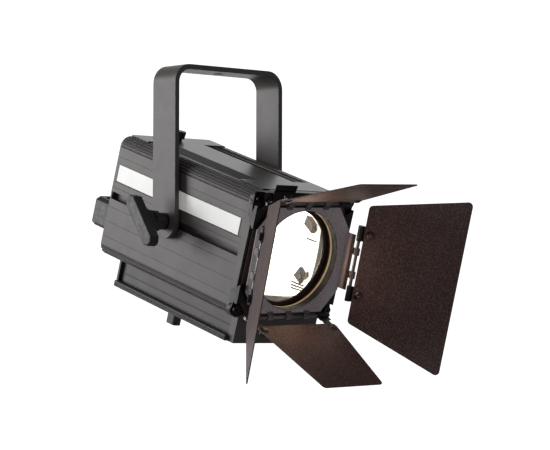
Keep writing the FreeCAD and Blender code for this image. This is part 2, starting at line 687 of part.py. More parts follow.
def make_rear_screws():
    """Four through the rear panel's corners, and four from inside the panel into the handle's feet."""
    rear = "body_front + body_length"
    screws = [screw(f"rear_screw_{i}", (x, f"{rear} + 2.75", z), "y", "11")
              for i, (x, z) in enumerate(REAR_CORNERS)]
    screws += [screw(f"handle_screw_{i}", (x, f"{rear} + 0.1", f"handle_level + {z}"), "-y", "12")
               for i, (x, z) in enumerate(HANDLE_BOLTS)]
    keep_node("rear_screws", screws, HOUSE)


# ---------- electrical tray ----------

def make_tray():
    body = new_body("lower_tray", HOUSE)
    profile = new_sketch(body, "XZ_Plane", "-tray_rear")
    lip_top = "tray_bottom + lip_height"
    right = [
        ("tray_lip", "tray_bottom"), ("tray_lip", lip_top), ("tray_half", lip_top), ("tray_half", "-87"),
        ("tray_half - 0.4", "-86.6"), ("tray_half - 0.4", "-86"), ("tray_half", "-85.6"),
        ("tray_half", "-body_half - 0.1"), ("tray_half - sheet_thick", "-body_half - 0.1"),
        ("tray_half - sheet_thick", "tray_bottom + sheet_thick"),
    ]
    add_polygon(profile, right + mirrored(right))
    shell = pad(body, profile, "tray_rear - body_front - 0.1")
    lip = cell("tray_lip")
    fillet(body, shell, Y, lambda p: abs(abs(p.x) - lip) < 0.1, "1.2")
    grooves = new_sketch(body, "XZ_Plane")
    for rise in ("2.1", "3.5", "4.9"):
        for edge in ("-tray_lip - 0.1", "tray_lip + 0.1"):
            add_circle(grooves, edge, f"tray_bottom + {rise}", "0.5")
    pocket(body, grooves, "400")
    slot = new_sketch(body, "XY_Plane", "tray_bottom")
    add_rectangle(slot, "-3.4", "knob_place - 53.5", "3.4", "knob_place + 33.5")
    pocket(body, slot, "8")
    step = new_sketch(body, "YZ_Plane")
    add_rectangle(step, "tray_rear - step_length", lip_top, "tray_rear + 1", "-body_half + 1")
    pocket(body, step, "tray_lip * 4")


def make_tray_rear():
    body = new_body("tray_rear_plate", HOUSE)
    plate = new_sketch(body, "XZ_Plane", "-(tray_rear + 3.1)")
    add_rectangle(plate, "-61", "tray_bottom", "61", "-body_half - 0.1")
    pad(body, plate, "3")
    rim = new_sketch(body, "XZ_Plane", "-tray_rear - 0.5")
    rim_half, rim_low = "tray_half - sheet_thick - 0.1", "tray_bottom + sheet_thick + 0.1"
    add_rectangle(rim, f"-({rim_half})", rim_low, rim_half, "-body_half - 0.2")
    add_rectangle(rim, f"-({rim_half} - 1.2)", f"{rim_low} + 1.2", f"{rim_half} - 1.2", "-body_half - 1.4")
    pad(body, rim, "10.5")
    hole = new_sketch(body, "XZ_Plane", "-tray_rear")
    add_circle(hole, "32", "-89", "8.1")
    places = ("-52", "0")
    for x in places:
        add_circle(hole, x, "-89", "small_screw + 0.05")
    pocket(body, hole, "12")
    screws = [screw(f"tray_screw_{i}", (x, "tray_rear + 3.15", "-89"), "y", "9", "small_screw",
                    "small_screw * 2") for i, x in enumerate(places)]
    keep_node("tray_screws", screws, HOUSE)


def make_cable_gland():
    pieces = [
        rod("gland_thread", "8", "14", ("32", "tray_rear - 8", "-89"), "y"),
        prism("gland_nut", "12", "6", ("32", "tray_rear + 3.2", "-89"), "y"),
        rod("gland_cap", "9.5", "9", ("32", "tray_rear + 9", "-89"), "y"),
    ]
    bore = rod("gland_bore", "4", "40", ("32", "tray_rear - 15", "-89"), "y")
    solid = cut("gland_solid", fuse("gland_stack", pieces), bore)
    keep_node("cable_gland", [solid], HOUSE)


def make_terminal_block():
    base = block("terminal_base", ("-52", "40", "-102.3"), ("38", "18", "14"))
    holes = fuse("terminal_holes", [rod(f"terminal_hole_{i}", "2.2", "10", (str(-46 + 13 * i), "49", "-96"))
                                    for i in range(3)])
    keep_node("terminal_block", [cut("terminal_solid", base, holes)], HOUSE)


# ---------- lamp carriage ----------

def make_carriage():
    body = new_body("lamp_carriage", HOUSE)
    base = new_sketch(body, "XZ_Plane", "-(lamp_place + 32)")
    add_rectangle(base, "-46", "-63.5", "46", "-52.5")
    pad(body, base, "54")
    post = new_sketch(body, "XY_Plane", "-53")
    add_rectangle(post, "-10", "lamp_place - 12", "10", "lamp_place + 28")
    pad(body, post, "10")
    bores = new_sketch(body, "XZ_Plane")
    for sign in ("-", ""):
        add_circle(bores, f"{sign}rail_spread", "rail_level", "rail_radius + run_fit")
    pocket(body, bores, "400")
    thread = new_sketch(body, "XY_Plane", "-63", ("0", "knob_place"))
    add_circle(thread, "0", "0", "3 + run_fit")
    pocket(body, thread, "16")


def make_lamp():
    socket = fuse("socket_stack", [
        block("socket_base", ("-14", "lamp_place - 10", "-42.9"), ("28", "20", "8")),
        block("socket_head", ("-10", "lamp_place - 8", "-35"), ("20", "16", "16")),
    ])
    keep_node("lamp_socket", [socket], HOUSE)
    where = HOUSE * Placement(Vector(0, cell("lamp_place"), -18.9), Rotation())
    keep_node("lamp_base", [fuse("lamp_base_solid", [
        block("lamp_base_block", ("-8.5", "-5", "0"), ("17", "10", "6")),
        rod("lamp_collar", "7", "3", ("0", "0", "5.5"))])], where)
    body = new_body("lamp_bulb", where)
    outline = new_sketch(body, "XZ_Plane")
    radius, foot, straight, tip = cell("bulb_radius"), 8.6, 33, 1
    bore, tip_end, slant = radius - 1, 43.5, math.sqrt(0.5)
    outer_rise = straight + math.sqrt(radius ** 2 - tip ** 2)
    inner_rise = straight + math.sqrt(bore ** 2 - 0.5 ** 2)
    outline.addGeometry([
        Part.LineSegment(Vector(bore, foot, 0), Vector(radius, foot, 0)),
        Part.LineSegment(Vector(radius, foot, 0), Vector(radius, straight, 0)),
        Part.Arc(Vector(radius, straight, 0), Vector(radius * slant, straight + radius * slant, 0),
                 Vector(tip, outer_rise, 0)),
        Part.LineSegment(Vector(tip, outer_rise, 0), Vector(tip, tip_end, 0)),
        Part.LineSegment(Vector(tip, tip_end, 0), Vector(0, tip_end, 0)),
        Part.LineSegment(Vector(0, tip_end, 0), Vector(0, inner_rise, 0)),
        Part.LineSegment(Vector(0, inner_rise, 0), Vector(0.5, inner_rise, 0)),
        Part.Arc(Vector(0.5, inner_rise, 0), Vector(bore * slant, straight + bore * slant, 0),
                 Vector(bore, straight, 0)),
        Part.LineSegment(Vector(bore, straight, 0), Vector(bore, foot, 0)),
    ], False)
    revolve(body, outline, "V_Axis")
    coils = [rod(f"filament_coil_{i}", "0.9", "8", (str(-3 + 2 * i), "0", "13.3")) for i in range(4)]
    keep_node("lamp_filament", coils, where)


def make_mirror():
    """Spherical mirror behind the lamp, centred on the filament, and the bracket that holds it."""
    where = HOUSE * Placement(Vector(0, cell("lamp_place"), cell("lens_axis")), Rotation())
    body = new_body("reflector", where)
    outline = new_sketch(body, "YZ_Plane")
    inner, angle = cell("mirror_radius"), math.radians(cell("mirror_angle"))
    outer = inner + 1

    def on(radius, part):
        return Vector(radius * math.cos(angle * part), radius * math.sin(angle * part), 0)

    outline.addGeometry([
        Part.Arc(on(inner, 0), on(inner, 0.5), on(inner, 1)), Part.LineSegment(on(inner, 1), on(outer, 1)),
        Part.Arc(on(outer, 1), on(outer, 0.5), on(outer, 0)), Part.LineSegment(on(outer, 0), on(inner, 0)),
    ], False)
    revolve(body, outline, "H_Axis")
    plate = new_body("reflector_bracket", HOUSE)
    side = new_sketch(plate, "YZ_Plane")
    add_polygon(side, [
        ("lamp_place + 14", "-42.9"), ("lamp_place + 27", "-42.9"), ("lamp_place + 27", "-41.4"),
        ("lamp_place + 35.6", "-41.4"), ("lamp_place + 35.6", "lens_axis + 6"),
        ("lamp_place + 34.1", "lens_axis + 6"), ("lamp_place + 34.1", "-39.9"), ("lamp_place + 14", "-39.9"),
    ])
    pad(plate, side, "14", both=True)


def make_focus_knob():
    """Bar grip below the tray on the carriage's stud: loosened, it slides the carriage along the slot."""
    where = HOUSE * Placement(Vector(0, cell("knob_place"), 0), Rotation())
    body = new_body("focus_knob", where)
    plan = new_sketch(body, "XY_Plane", "tray_bottom - 0.4")
    add_circle(plan, "0", "0", "5.2")
    pad(body, plan, "9", back=True)
    bar = new_sketch(body, "XY_Plane", "tray_bottom - 9")
    add_rectangle(bar, "-6", "-8.5", "6", "8.5")
    grip = pad(body, bar, "24", back=True)
    fillet(body, grip, Z, lambda p: abs(p.y) > 8 and abs(p.x) > 5, "4")
    stud = rod("focus_bar", "3", "-tray_bottom - 58", ("0", "0", "tray_bottom - 0.4"))
    keep_node("focus_stud", [stud], where)


# ---------- barndoor ----------

def make_slot_plate():
    """Square accessory frame in the corner clips: the barndoor turns in it."""
    body = new_body("barndoor_slot_plate", HOUSE)
    outline = new_sketch(body, "XZ_Plane", "-door_plane - 9.5", ("0", "lens_axis"))
    right = [("52", "-69.5"), ("70", "-50"), ("70", "50"), ("52", "71")]
    add_polygon(outline, right + mirrored(right))
    add_circle(outline, "0", "0", "door_opening + 1.8")
    pad(body, outline, "1.2")


def flange_lean():
    """Angle of the side flanges from straight forward: a knuckle's foot lies on the outer face."""
    across = cell("side_rod_offset") - cell("plate_thick") - 0.02 - cell("door_half_width")
    return math.degrees(math.atan(across / (cell("side_rod_reach") + cell("plate_thick"))))


def make_carrier():
    body = new_body("barndoor_carrier", DOOR)
    outline = new_sketch(body, "XZ_Plane", "-plate_thick")
    right = [
        ("50", "-door_half_height"), ("door_half_width", "-36"), ("door_half_width", "36"),
        ("50", "door_half_height"),
    ]
    add_polygon(outline, right + mirrored(right))
    add_circle(outline, "0", "0", "door_opening")
    pad(body, outline, "plate_thick")
    for sign in (1, -1):
        flange = new_sketch(body, "XY_Plane")
        lean = math.tan(math.radians(flange_lean()))
        spread = f"(side_rod_reach - 4 + plate_thick) * {lean:.5f}"
        add_polygon(flange, [
            (f"{sign} * (door_half_width - plate_thick)", "0"), (f"{sign} * door_half_width", "plate_thick"),
            (f"{sign} * (door_half_width + {spread})", "-side_rod_reach + 4"),
            (f"{sign} * (door_half_width - plate_thick + {spread})", "-side_rod_reach + 4"),
        ])
        pad(body, flange, "66", both=True)
    sleeve = new_sketch(body, "XZ_Plane", "-11.4")
    add_circle(sleeve, "0", "0", "door_opening + 1.5")
    add_circle(sleeve, "0", "0", "door_opening")
    pad(body, sleeve, "11.4")
    spacer = tube("spacer_band", "63.3", "door_opening + 1.6", "6.6", ("0", "1.4", "0"), "y")
    keep_node("barndoor_spacer_ring", [spacer], DOOR)
    retainer = tube("retainer_band", "64.5", "door_opening + 1.55", "1", ("0", "10.2", "0"), "y")
    keep_node("barndoor_retainer", [retainer], DOOR)


def knuckle(name, foot_length, where):
    """Saddle that holds a hinge rod: the rod runs along local X, the foot lies along +Y."""
    sleeve = rod(name + "_sleeve", "knuckle_radius", "8", ("-4", "0", "0"), "x")
    foot = block(name + "_foot", ("-4", "2.6", "-plate_thick"), ("8", foot_length, "plate_thick"))
    solid = cut(name, fuse(name + "_solid", [sleeve, foot]),
                rod(name + "_bore", "rod_radius + 0.04", "12", ("-6", "0", "0"), "x"))
    solid.Placement = where
    return solid


def hinge_frame(side):
    """Frame of one leaf's hinge in the barndoor frame: X along the rod, -Y straight forward, Z outward."""
    turn = {"top": 0, "right": 90, "bottom": 180, "left": 270}[side]
    if side in ("top", "bottom"):
        offset, reach = cell("rod_offset"), 0
    else:
        offset, reach = cell("side_rod_offset"), -cell("side_rod_reach")
    spin = Rotation(Vector(0, 1, 0), turn)
    return Placement(spin.multVec(Vector(0, reach, offset)), spin)


def make_hinges():
    rods, knuckles = [], []
    for side in ("top", "bottom", "left", "right"):
        frame = hinge_frame(side)
        long = side in ("top", "bottom")
        half = 64 if long else 45
        bar = doc.addObject("Part::Cylinder", f"rod_{side}")
        bind(bar, Radius="rod_radius", Height=f"{half} * 2")
        bar.Placement = frame * Placement(Vector(-half, 0, 0), TURNS["x"])
        rods.append(bar)
        # the foot points at the plate: straight in along the plate, or back along the side flange
        fold = Rotation(Vector(1, 0, 0), -90 if long else -flange_lean())
        foot_length = "4" if long else "9"
        for i, u in enumerate((-27.5, 0, 27.5) if long else (-14, 14)):
            place = frame * Placement(Vector(u, 0, 0), fold)
            knuckles.append(knuckle(f"knuckle_{side}_{i}", foot_length, place))
    keep_node("hinge_rods", rods, DOOR)
    keep_node("hinge_knuckles", knuckles, DOOR)


def leaf_clip(name, low, high, tail_low, tail_high, reach):
    """Clip rolled round the rod, with a tail that is screwed to the leaf's outer face."""
    sleeve = rod(name + "_sleeve", "knuckle_radius - 0.2", str(high - low), (str(low), "0", "0"), "x")
    neck = block(name + "_neck", (str(min(low, tail_low)), "-8", "0.7"),
                 (str(max(high, tail_high) - min(low, tail_low)), "5.4", "clip_thick"))
    tail = block(name + "_tail", (str(tail_low), f"-({reach})", "0.7"),
                 (str(tail_high - tail_low), f"{reach} - 7", "clip_thick"))
    solid = fuse(name + "_solid", [sleeve, neck, tail])
    bore = rod(name + "_bore", "rod_radius + run_fit", str(high - low + 4), (str(low - 2), "0", "0"), "x")
    hole = rod(name + "_hole", "screw_radius + 0.05", "8",
               (str((tail_low + tail_high) / 2), f"-({reach} - {TAIL_MARGIN})", "-3"))
    return cut(name, solid, fuse(name + "_holes", [bore, hole]))


def make_leaf(side):
    large = side in ("left", "right")
    size = "large" if large else "small"
    where = DOOR * hinge_frame(side) * Placement(Vector(), Rotation(Vector(1, 0, 0), -cell(f"open_{side}")))
    body = new_body(f"leaf_{side}", where)
    outline = new_sketch(body, "XY_Plane", "-0.6")
    add_polygon(outline, [
        (f"-{size}_root", f"-{size}_start"), (f"{size}_root", f"-{size}_start"),
        (f"{size}_tip", f"-{size}_end"), (f"-{size}_tip", f"-{size}_end"),
    ])
    blade = pad(body, outline, "1.2")
    fillet(body, blade, Z, lambda p: True, "leaf_corner")
    if large:
        spans, reach = ((-45, -27, -41, -31), (27, 45, 31, 41)), 17.5
    else:
        spans, reach = ((-62, -46, -57.5, -47.5), (46, 62, 47.5, 57.5)), 29
    middles = [str((low + high) / 2) for _, _, low, high in spans]
    screw_place = str(TAIL_MARGIN - reach)
    holes = new_sketch(body, "XY_Plane")
    for middle in middles:
        add_circle(holes, middle, screw_place, "screw_radius + 0.05")
    pocket(body, holes, "8")
    clips = [leaf_clip(f"clip_{side}_{i}", *span, reach) for i, span in enumerate(spans)]
    keep_node(f"leaf_{side}_clips", clips, where)
    screws = [screw(f"leaf_screw_{side}_{i}", (middle, screw_place, "clip_thick + 0.75"), "z", "4",
                    head="leaf_head") for i, middle in enumerate(middles)]
    keep_node(f"leaf_{side}_screws", screws, where)


def make_all():
    make_yoke()
    make_tilt_lock()
    make_pivot_hardware()
    for side, sign in (("left", "-"), ("right", "")):
        make_side_extrusion(side, sign)
    make_nameplates()
    make_top_cover()
    make_cover_knob()
    make_top_baffle()
    make_front_frame()
    make_front_screws()
    make_corner_clips()
    make_accessory_latch()
    make_lens_group()
    make_liner()
    make_heat_shield()
    make_rails()
    make_rear_panel()
    make_rear_handle()
    make_rear_screws()
    make_tray()
    make_tray_rear()
    make_cable_gland()
    make_terminal_block()
    make_carriage()
    make_lamp()
    make_mirror()
    make_focus_knob()
    make_slot_plate()
    make_carrier()
    make_hinges()
    for side in ("top", "bottom", "left", "right"):
        make_leaf(side)


def check_and_write():
    """Stops on any failed feature or bad shape, then writes one STEP file for each node."""
    doc.recompute()
    failed = [thing.Label for thing in doc.Objects if {"Invalid", "Error"} & set(thing.State)]
    bad = [label for label, thing in nodes.items() if thing.Shape.isNull() or not thing.Shape.isValid()]
    if failed or bad:
        raise RuntimeError(f"failed features {failed}, bad shapes {bad}")
    os.makedirs("parts", exist_ok=True)
    for label, thing in nodes.items():
        thing.Shape.exportStep(f"parts/{label}.step")
    print(len(nodes), "nodes written")


make_all()
check_and_write()
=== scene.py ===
"""Looks for the plano-convex stage spotlight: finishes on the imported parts, lamp glow, studio and camera."""

import json
import math

import bpy
from mathutils import Matrix, Vector


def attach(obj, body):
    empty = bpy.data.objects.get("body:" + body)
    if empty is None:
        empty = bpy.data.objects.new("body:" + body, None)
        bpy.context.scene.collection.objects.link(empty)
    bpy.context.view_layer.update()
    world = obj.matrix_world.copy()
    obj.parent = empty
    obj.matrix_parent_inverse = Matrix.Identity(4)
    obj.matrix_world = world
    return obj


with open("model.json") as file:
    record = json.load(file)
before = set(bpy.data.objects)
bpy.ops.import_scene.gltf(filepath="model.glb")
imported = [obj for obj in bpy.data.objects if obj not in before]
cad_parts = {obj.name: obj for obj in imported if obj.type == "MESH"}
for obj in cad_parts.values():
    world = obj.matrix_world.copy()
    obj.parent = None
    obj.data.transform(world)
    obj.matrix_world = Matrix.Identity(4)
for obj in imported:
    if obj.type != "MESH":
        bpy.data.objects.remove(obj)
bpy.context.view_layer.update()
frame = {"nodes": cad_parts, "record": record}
NODES = frame["nodes"]

MM = 0.001
TILT_AXIS = Vector((0, 0, -0.182))
HOUSE_TILT = math.radians(17.8)
LENS_AXIS_HEIGHT = -1.6 * MM
DOOR_PLANE = -146 * MM
DOOR_TURN = math.radians(-2.1)
HOUSE = Matrix.Translation(TILT_AXIS) @ Matrix.Rotation(HOUSE_TILT, 4, "X")
DOOR = (HOUSE @ Matrix.Translation((0, DOOR_PLANE, LENS_AXIS_HEIGHT))
        @ Matrix.Rotation(DOOR_TURN, 4, "Y"))


# ---------- node graphs ----------

class Graph:
    """A material's node tree, built one call at a time. Lengths are in metres, so scales are per metre."""

    def __init__(self, name):
        self.material = bpy.data.materials.new(name)
        self.material.use_nodes = True
        self.tree = self.material.node_tree
        self.tree.nodes.clear()
        self.place = self.add("ShaderNodeTexCoord").outputs["Object"]

    def add(self, kind, settings=None, **inputs):
        """A node with its settings and inputs; an underscore in an input's keyword stands for a space."""
        node = self.tree.nodes.new(kind)
        for key, value in (settings or {}).items():
            setattr(node, key, value)
        for key, value in inputs.items():
            self.feed(node.inputs[key.replace("_", " ")], value)
        return node

    def feed(self, socket, value):
        if isinstance(value, bpy.types.NodeSocket):
            self.tree.links.new(value, socket)
        else:
            socket.default_value = value

    def noise(self, scale, detail=2.0, roughness=0.5, stretch=None):
        place = self.place
        if stretch:
            place = self.add("ShaderNodeMapping", Vector=place, Scale=stretch).outputs["Vector"]
        node = self.add("ShaderNodeTexNoise", Vector=place, Scale=scale, Detail=detail, Roughness=roughness)
        return node.outputs["Fac"]

    def cells(self, scale):
        return self.add("ShaderNodeTexVoronoi", Vector=self.place, Scale=scale).outputs["Distance"]

    def span(self, value, low, high, to_low=0.0, to_high=1.0):
        """Maps low..high of a value to to_low..to_high, clamped."""
        node = self.add("ShaderNodeMapRange", {"clamp": True})
        for index, number in enumerate((value, low, high, to_low, to_high)):
            self.feed(node.inputs[index], number)
        return node.outputs[0]

    def mix(self, share, first, second):
        node = self.add("ShaderNodeMix", {"data_type": "RGBA"})
        for index, value in ((0, share), (6, first), (7, second)):
            self.feed(node.inputs[index], value)
        return node.outputs[2]

    def math(self, operation, first, second=0.0):
        node = self.add("ShaderNodeMath", {"operation": operation})
        self.feed(node.inputs[0], first)
        self.feed(node.inputs[1], second)
        return node.outputs[0]

    def vector_math(self, operation, first, second, output):
        node = self.add("ShaderNodeVectorMath", {"operation": operation})
        self.feed(node.inputs[0], first)
        self.feed(node.inputs[1], second)
        return node.outputs[output]

    def along(self, working_frame, axis):
        """How far a point of the mesh is along one axis of a working frame, in metres."""
        offset = self.vector_math("SUBTRACT", self.place, tuple(working_frame.translation), "Vector")
        direction = working_frame.to_3x3().col[axis]
        return self.vector_math("DOT_PRODUCT", offset, tuple(direction), "Value")

    def soft_edges(self, radius):
        return self.add("ShaderNodeBevel", {"samples": 4}, Radius=radius).outputs["Normal"]

    def rubbed_and_highlit_edges(self, radius):
        """1 on convex and concave edges, 0 on open faces."""
        flat = self.add("ShaderNodeNewGeometry").outputs["Normal"]
        likeness = self.vector_math("DOT_PRODUCT", self.soft_edges(radius), flat, "Value")
        return self.span(likeness, 0.995, 0.85)

    def openness(self, reach):
        """1 on open faces, falling towards 0 deep in grooves and corners narrower than the reach, used as a
        mask for painting shade there.
        """
        node = self.add("ShaderNodeAmbientOcclusion", {"samples": 8}, Distance=reach)
        return self.span(node.outputs["AO"], 0.35, 0.92)

    def bump(self, height, distance, strength=1.0, normal=None):
        node = self.add("ShaderNodeBump", Height=height, Distance=distance, Strength=strength)
        if normal is not None:
            self.feed(node.inputs["Normal"], normal)
        return node.outputs["Normal"]

    def finish(self, **inputs):
        shader = self.add("ShaderNodeBsdfPrincipled", **inputs)
        output = self.add("ShaderNodeOutputMaterial")
        self.feed(output.inputs["Surface"], shader.outputs["BSDF"])
        return self.material


def rgb(red, green, blue):
    return (red, green, blue, 1.0)


def tone(base, factor, lift=0.0):
    """A shader colour made from a base colour, darker or lighter."""
    return rgb(*[min(channel * factor + lift, 1) for channel in base])


# ---------- finishes ----------

MIDDLE = (0.3, 0.7)     # where most of a noise's values lie
CLOUD_SCALE = 22
PAINT_EDGE = 0.35 * MM
# how far the painted shade in grooves and corners reaches, and how dark it makes the colour
GROOVE_SHADE_REACH = 3.5 * MM
GROOVE_SHADE_TONE = 0.25
WRINKLE_SIZE = 1.7 * MM


def paint(name, base, speck, speck_share=0.12, speck_size=0.9 * MM, speck_cover=(0.60, 0.74),
          grain=0.55 * MM, height=0.05 * MM, roughness=0.46, level=0.35, mottle=0.15):
    """Powder coat: mottled colour, raised grain, pale specks, slightly polished and lighter edges (partly
    rubbed wear, partly painted highlight) and painted shade in the grooves.
    """
    g = Graph(name)
    cloud = g.span(g.noise(CLOUD_SCALE, 4), *MIDDLE)
    colour = g.mix(cloud, tone(base, 1 - mottle), tone(base, 1 + mottle))
    spots = g.span(g.noise(1 / speck_size, 2, 0.55), *speck_cover, 0.0, speck_share)
    colour = g.mix(spots, colour, rgb(*speck))
    rub_and_highlight = g.math("MULTIPLY", g.rubbed_and_highlit_edges(PAINT_EDGE), g.span(g.noise(160, 3), 0.35, 0.65, 0.25, 0.8))
    # lighter, slightly polished edges: partly rubbed wear, partly a painted highlight along them
    colour = g.mix(rub_and_highlight, colour, tone(base, 1.6, 0.012))
    # painted shade: grooves and corners darkened through ambient occlusion
    colour = g.mix(g.openness(GROOVE_SHADE_REACH), tone(base, GROOVE_SHADE_TONE), colour)
    rough = g.span(g.noise(60, 4), *MIDDLE, roughness - 0.35 * mottle, roughness + 0.4 * mottle)
    rough = g.math("SUBTRACT", rough, g.math("MULTIPLY", rub_and_highlight, 0.1))
    normal = g.bump(g.noise(1 / grain, 3, 0.6), height, 1.0, g.soft_edges(PAINT_EDGE))
    return g.finish(Base_Color=colour, Roughness=rough, Normal=normal, Specular_IOR_Level=level)


BORE_RADIUS = 58.4 * MM
BORE_BLEND = 0.4 * MM
RIM_DEPTH = 8.4 * MM
RIM_BLEND = 0.4 * MM
FLANGE_PLACE = 69.7 * MM
FLANGE_BLEND = 0.5 * MM
# dark for the bore, and painted shade on the side flanges
DARK_BORE_AND_FLANGE_SHADE = (0.035, 0.027, 0.022)
# painted lamp light: the warm gold of the lit back rim
LAMP_LIT_RIM_GOLD = (0.62, 0.42, 0.22)


def carrier_paint(name, base, speck):
    """Grey wrinkle finish. The turned bore is dark, the side flanges are darkened as painted shade, and the
    back rim is bare metal painted warm gold with a faint glow, standing in for lamp light.
    """
    g = Graph(name)
    across, depth, up = (g.along(DOOR, axis) for axis in range(3))
    radius = g.math("SQRT", g.math("ADD", g.math("MULTIPLY", across, across), g.math("MULTIPLY", up, up)))
    colour = g.mix(g.span(g.noise(CLOUD_SCALE, 4), *MIDDLE), tone(base, 0.86), tone(base, 1.16))
    wrinkles = g.span(g.noise(1 / WRINKLE_SIZE, 2, 0.55), 0.46, 0.68, 0.0, 0.6)
    colour = g.mix(wrinkles, colour, rgb(*speck))
    inside = g.span(radius, BORE_RADIUS + BORE_BLEND, BORE_RADIUS)
    flange = g.span(g.math("ABSOLUTE", across), FLANGE_PLACE, FLANGE_PLACE + FLANGE_BLEND)
    # the bore dark, the side flanges darkened as painted shade
    colour = g.mix(g.math("MAXIMUM", inside, flange), colour, rgb(*DARK_BORE_AND_FLANGE_SHADE))
    # painted lamp light: the back rim of the bore turns warm gold
    rim = g.math("MULTIPLY", inside, g.span(depth, RIM_DEPTH, RIM_DEPTH + RIM_BLEND))
    colour = g.mix(rim, colour, rgb(*LAMP_LIT_RIM_GOLD))
    # lighter edges: partly rubbed wear, partly a painted highlight
    colour = g.mix(g.math("MULTIPLY", g.rubbed_and_highlit_edges(PAINT_EDGE), 0.5), colour, tone(base, 1.5))
    normal = g.bump(g.noise(1 / (0.9 * MM), 3, 0.6), 0.06 * MM, 1.0, g.soft_edges(PAINT_EDGE))
    # the rim's faint glow is painted lamp light
    return g.finish(Base_Color=colour, Roughness=g.span(g.noise(60, 4), *MIDDLE, 0.44, 0.52),
                    Normal=normal, Specular_IOR_Level=0.35, Emission_Color=rgb(1.0, 0.66, 0.32),
                    Emission_Strength=g.math("MULTIPLY", rim, 0.16))


METAL_EDGE = 0.25 * MM


def metal(name, base, roughness=0.3, dark=0.55):
    """Bare, plated or blackened metal: fine grain, handling smears, soft edges, and lighter edges that are
    partly wear and partly a painted highlight.
    """
    g = Graph(name)
    grain = g.noise(900, 3, 0.6)
    smear = g.span(g.noise(45, 4), 0.32, 0.7)
    colour = g.mix(smear, tone(base, dark), rgb(*base))
    # lighter edges: partly wear, partly a painted highlight
    colour = g.mix(g.math("MULTIPLY", g.rubbed_and_highlit_edges(METAL_EDGE), 0.35), colour, tone(base, 1.8, 0.05))
    rough = g.span(grain, *MIDDLE, roughness - 0.07, roughness + 0.1)
    normal = g.bump(grain, 0.01 * MM, 0.8, g.soft_edges(METAL_EDGE))
    return g.finish(Base_Color=colour, Metallic=1.0, Roughness=rough, Normal=normal)


def plastic(name, base, roughness=0.42, level=0.5, speck=None):
    """Moulded plastic: faint mottling, fine texture, and glass-fibre specks where a speck colour is given."""
    g = Graph(name)
    colour = g.mix(g.span(g.noise(35, 3), *MIDDLE), tone(base, 0.9), tone(base, 1.1))
    if speck:
        spots = g.span(g.noise(1100, 2), 0.58, 0.7, 0.0, 0.35)
        colour = g.mix(spots, colour, rgb(*speck))
    rough = g.span(g.noise(220, 3), *MIDDLE, roughness - 0.05, roughness + 0.07)
    normal = g.bump(g.noise(1 / (0.7 * MM), 2, 0.55), 0.04 * MM, 1.0, g.soft_edges(0.5 * MM))
    return g.finish(Base_Color=colour, Roughness=rough, Normal=normal, Specular_IOR_Level=level)


def label_sheet(name):
    """Satin label strip: faint lengthwise grain, a touch of yellowing, a few scuffs, and a faint glow in its
    own colour that brightens it as painted light.
    """
    g = Graph(name)
    colour = g.mix(g.span(g.noise(30, 3), 0.35, 0.7), rgb(0.86, 0.86, 0.85), rgb(0.78, 0.78, 0.765))
    scuffs = g.span(g.noise(420, 4, 0.7, (1, 0.12, 1)), 0.66, 0.8, 0.0, 0.25)
    colour = g.mix(scuffs, colour, rgb(0.55, 0.55, 0.54))
    normal = g.bump(g.noise(1500, 2, 0.5, (1, 0.15, 1)), 0.012 * MM, 0.6, g.soft_edges(0.3 * MM))
    # the emission is painted light, brightening the strip
    return g.finish(Base_Color=colour, Roughness=0.38, Normal=normal,
                    Emission_Color=colour, Emission_Strength=0.22)


LINER_FRONT, LINER_LIT = -95 * MM, -82 * MM
LINER_FLOOR, LINER_FLOOR_END = -48.6 * MM, -47 * MM


def lit_sheet(name, base, glow, strength, roughness, dents=0.25 * MM):
    """Bright metal in the lamp house, flooded by the lamp: dimmer and warmer near the lens and the floor."""
    g = Graph(name)
    cloud = g.noise(18, 3)
    colour = g.mix(g.span(cloud, *MIDDLE), tone(base, 0.92), rgb(*base))
    rear = g.span(g.along(HOUSE, 1), LINER_FRONT, LINER_LIT, 0.55, 1.0)
    above = g.span(g.along(HOUSE, 2), LINER_FLOOR, LINER_FLOOR_END, 0.6, 1.0)
    share = g.math("MULTIPLY", g.math("MULTIPLY", rear, above), g.span(cloud, 0.35, 0.65, 0.9, 1.05))
    warm = rgb(glow[0], glow[1] * 0.86, glow[2] * 0.7)
    return g.finish(Base_Color=colour, Metallic=1.0, Roughness=roughness,
                    Normal=g.bump(g.cells(160), dents, 0.4), Emission_Color=g.mix(share, warm, rgb(*glow)),
                    Emission_Strength=g.math("MULTIPLY", share, strength))


def optic_glass(name, ior, tint):
    """Polished clear glass with a faint tint and a slow ripple."""
    g = Graph(name)
    ripple = g.bump(g.noise(26, 2, 0.4), 0.05 * MM, 0.25)
    colour = g.mix(g.span(g.noise(14, 2), *MIDDLE), rgb(*tint), rgb(1, 1, 1))
    return g.finish(Base_Color=colour, Roughness=0.0, IOR=ior, Normal=ripple, Transmission_Weight=1.0)


def glazed(name, base):
    """Glazed steatite with small brown pits."""
    g = Graph(name)
    pits = g.span(g.noise(700, 3), 0.62, 0.72, 0.0, 0.5)
    body = g.mix(g.noise(60, 3), rgb(*base), tone(base, 0.82))
    colour = g.mix(pits, body, rgb(0.45, 0.38, 0.3))
    normal = g.bump(g.noise(300, 3), 0.05 * MM, 0.6, g.soft_edges(0.4 * MM))
    return g.finish(Base_Color=colour, Roughness=0.28, Normal=normal, Coat_Weight=0.4)


def glowing_coil(name):
    """Tungsten wire at working heat, unevenly hot."""
    g = Graph(name)
    heat = g.mix(g.noise(400, 2), rgb(1.0, 0.62, 0.25), rgb(1.0, 0.82, 0.55))
    normal = g.bump(g.noise(3000, 1), 0.1 * MM)
    return g.finish(Base_Color=rgb(0.3, 0.28, 0.26), Metallic=1.0, Roughness=0.4, Normal=normal,
                    Emission_Color=heat, Emission_Strength=12.0)


FINE_POWDER = {"grain": 0.5 * MM, "height": 0.03 * MM, "level": 0.36, "mottle": 0.05}

